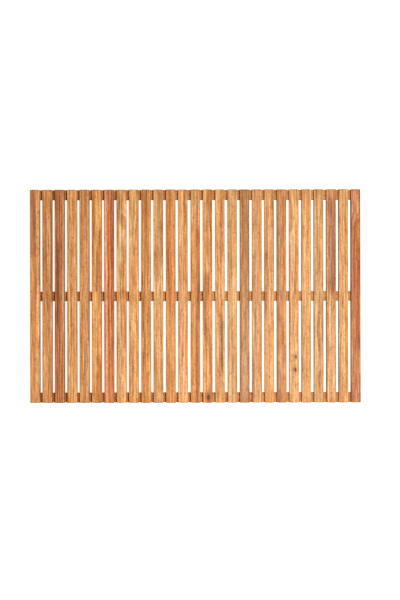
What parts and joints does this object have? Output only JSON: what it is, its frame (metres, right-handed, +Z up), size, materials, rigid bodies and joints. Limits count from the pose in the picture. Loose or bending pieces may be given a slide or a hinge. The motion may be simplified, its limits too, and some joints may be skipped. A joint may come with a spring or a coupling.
{
  "type": "slatted wooden bath mat",
  "caption": "Rectangular duckboard bath mat: oiled hardwood slats with open drain gaps, screwed from below to cross rails on rubber pads.",
  "frame": {"origin": "on the floor under the middle of the mat, level with the undersides of the rubber pads", "axes": "+X along the rails (the mat's long side), +Y along the slats, +Z up out of the deck"},
  "size_m": [0.6966, 0.45, 0.0265],
  "materials": {
    "tan_acacia": "satin",
    "russet_acacia": "satin",
    "amber_acacia": "satin",
    "honey_acacia": "satin",
    "straw_acacia": "satin",
    "rail_acacia": "satin",
    "screw_steel": "satin",
    "grip_rubber": "matte"
  },
  "bodies": {
    "root": {"slat_01": "tan_acacia", "slat_02": "tan_acacia", "slat_03": "russet_acacia", "slat_04": "honey_acacia", "slat_05": "tan_acacia", "slat_06": "amber_acacia", "slat_07": "russet_acacia", "slat_08": "honey_acacia", "slat_09": "honey_acacia", "slat_10": "amber_acacia", "slat_11": "honey_acacia", "slat_12": "amber_acacia", "slat_13": "honey_acacia", "slat_14": "amber_acacia", "slat_15": "amber_acacia", "slat_16": "honey_acacia", "slat_17": "straw_acacia", "slat_18": "tan_acacia", "slat_19": "honey_acacia", "slat_20": "honey_acacia", "slat_21": "tan_acacia", "slat_22": "straw_acacia", "slat_23": "straw_acacia", "slat_24": "straw_acacia", "slat_25": "tan_acacia", "slat_26": "straw_acacia", "slat_27": "russet_acacia", "rail_back": "rail_acacia", "rail_middle": "rail_acacia", "rail_front": "rail_acacia", "screws_back": "screw_steel", "screws_middle": "screw_steel", "screws_front": "screw_steel", "pad_back_1": "grip_rubber", "pad_back_2": "grip_rubber", "pad_back_3": "grip_rubber", "pad_back_4": "grip_rubber", "pad_middle_1": "grip_rubber", "pad_middle_2": "grip_rubber", "pad_middle_3": "grip_rubber", "pad_middle_4": "grip_rubber", "pad_front_1": "grip_rubber", "pad_front_2": "grip_rubber", "pad_front_3": "grip_rubber", "pad_front_4": "grip_rubber"}
  },
  "joints": []
}
